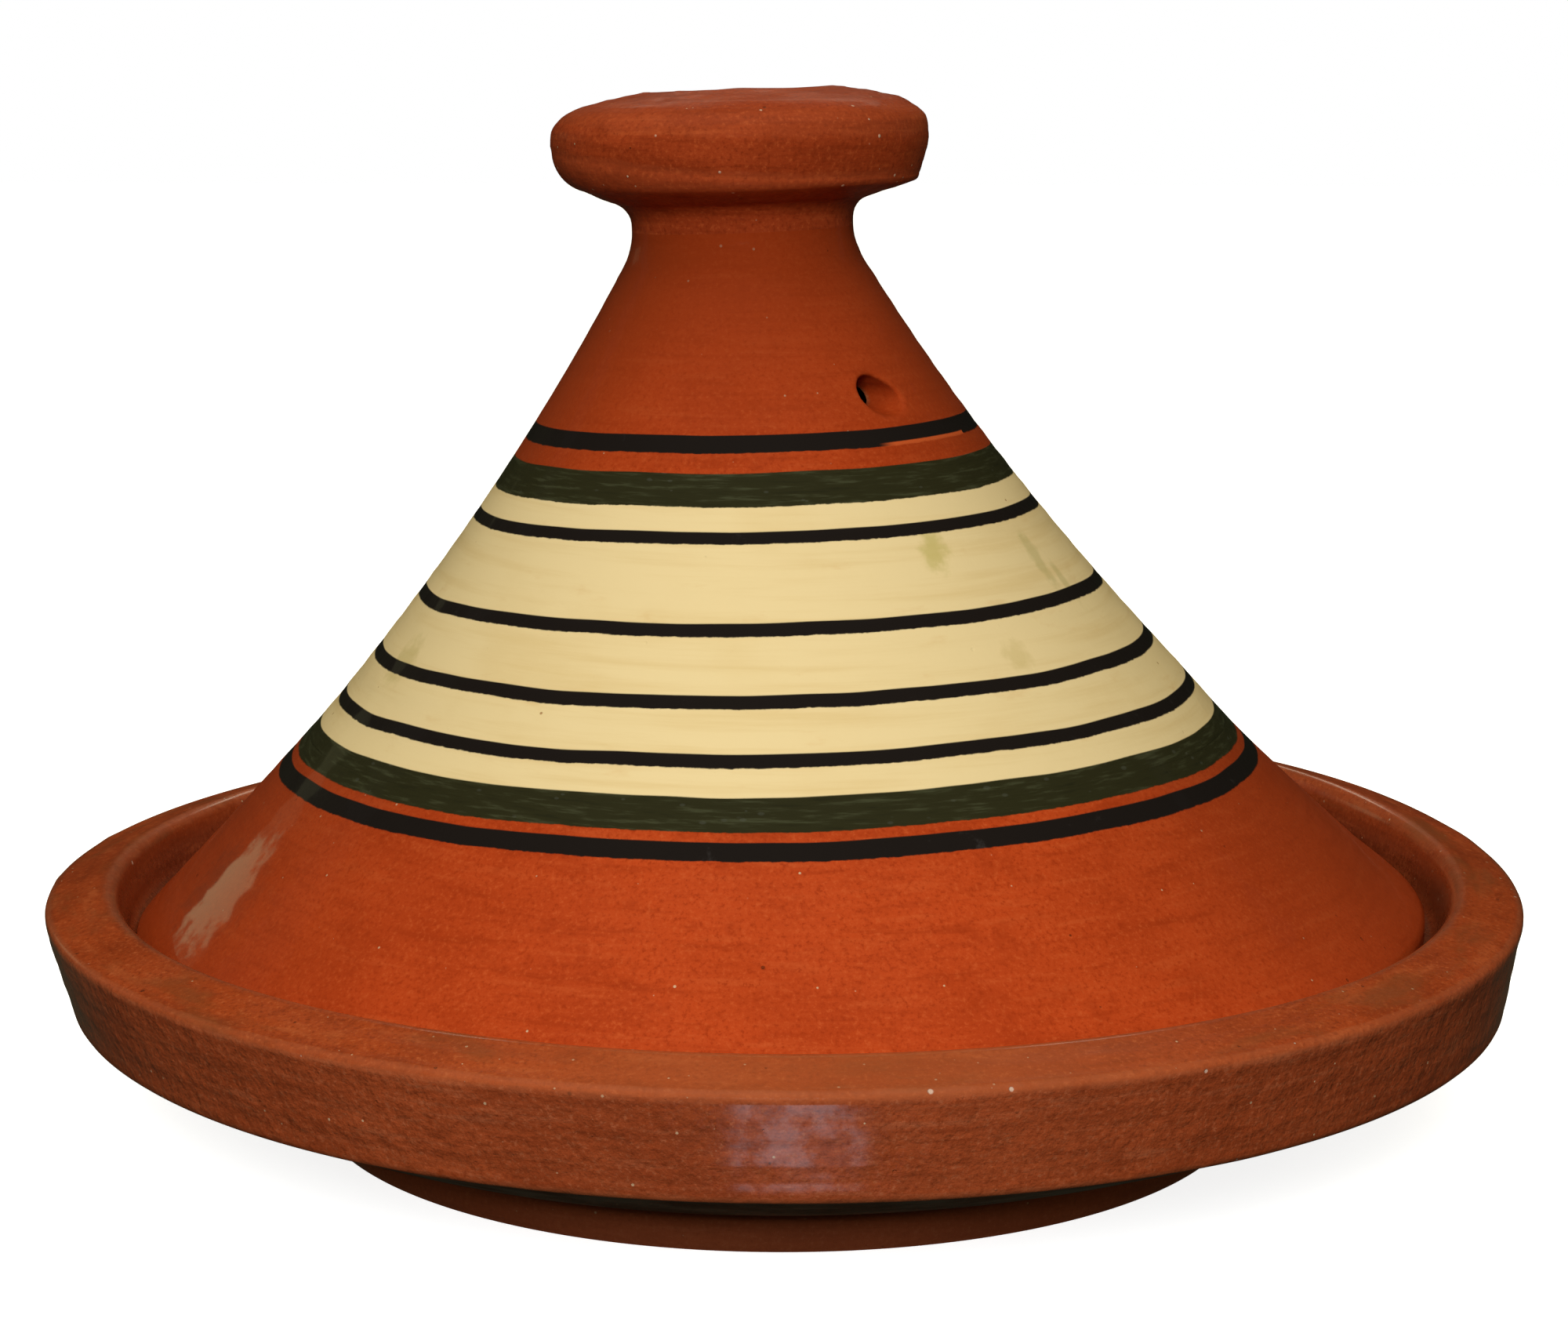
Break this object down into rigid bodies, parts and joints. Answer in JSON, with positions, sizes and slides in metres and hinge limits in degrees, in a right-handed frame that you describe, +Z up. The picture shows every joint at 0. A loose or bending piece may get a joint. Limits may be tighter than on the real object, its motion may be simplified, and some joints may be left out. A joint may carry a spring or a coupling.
{
  "type": "tagine pot",
  "caption": "Round shallow earthenware cooking dish with a rim gallery, and a tall hollow conical lid with a disc knob and a small steam vent that lifts off.",
  "frame": {"origin": "on the surface the dish stands on, under the centre of the dish", "axes": "+Z up; -Y is the front, the side that shows the steam vent 41 degrees round towards +X; the lid leans slightly towards -X"},
  "size_m": [0.307, 0.307, 0.2126],
  "materials": {
    "dish_clay": "satin",
    "lid_slip": "satin",
    "knob_clay": "satin"
  },
  "bodies": {
    "dish": {"dish": "dish_clay"},
    "lid": {"lid": "lid_slip", "knob": "knob_clay"}
  },
  "joints": [
    {"name": "lid_lift", "type": "slide", "parent": "dish", "child": "lid", "axis": [0, 0, 1], "range_m": [0, 0.2]}
  ]
}
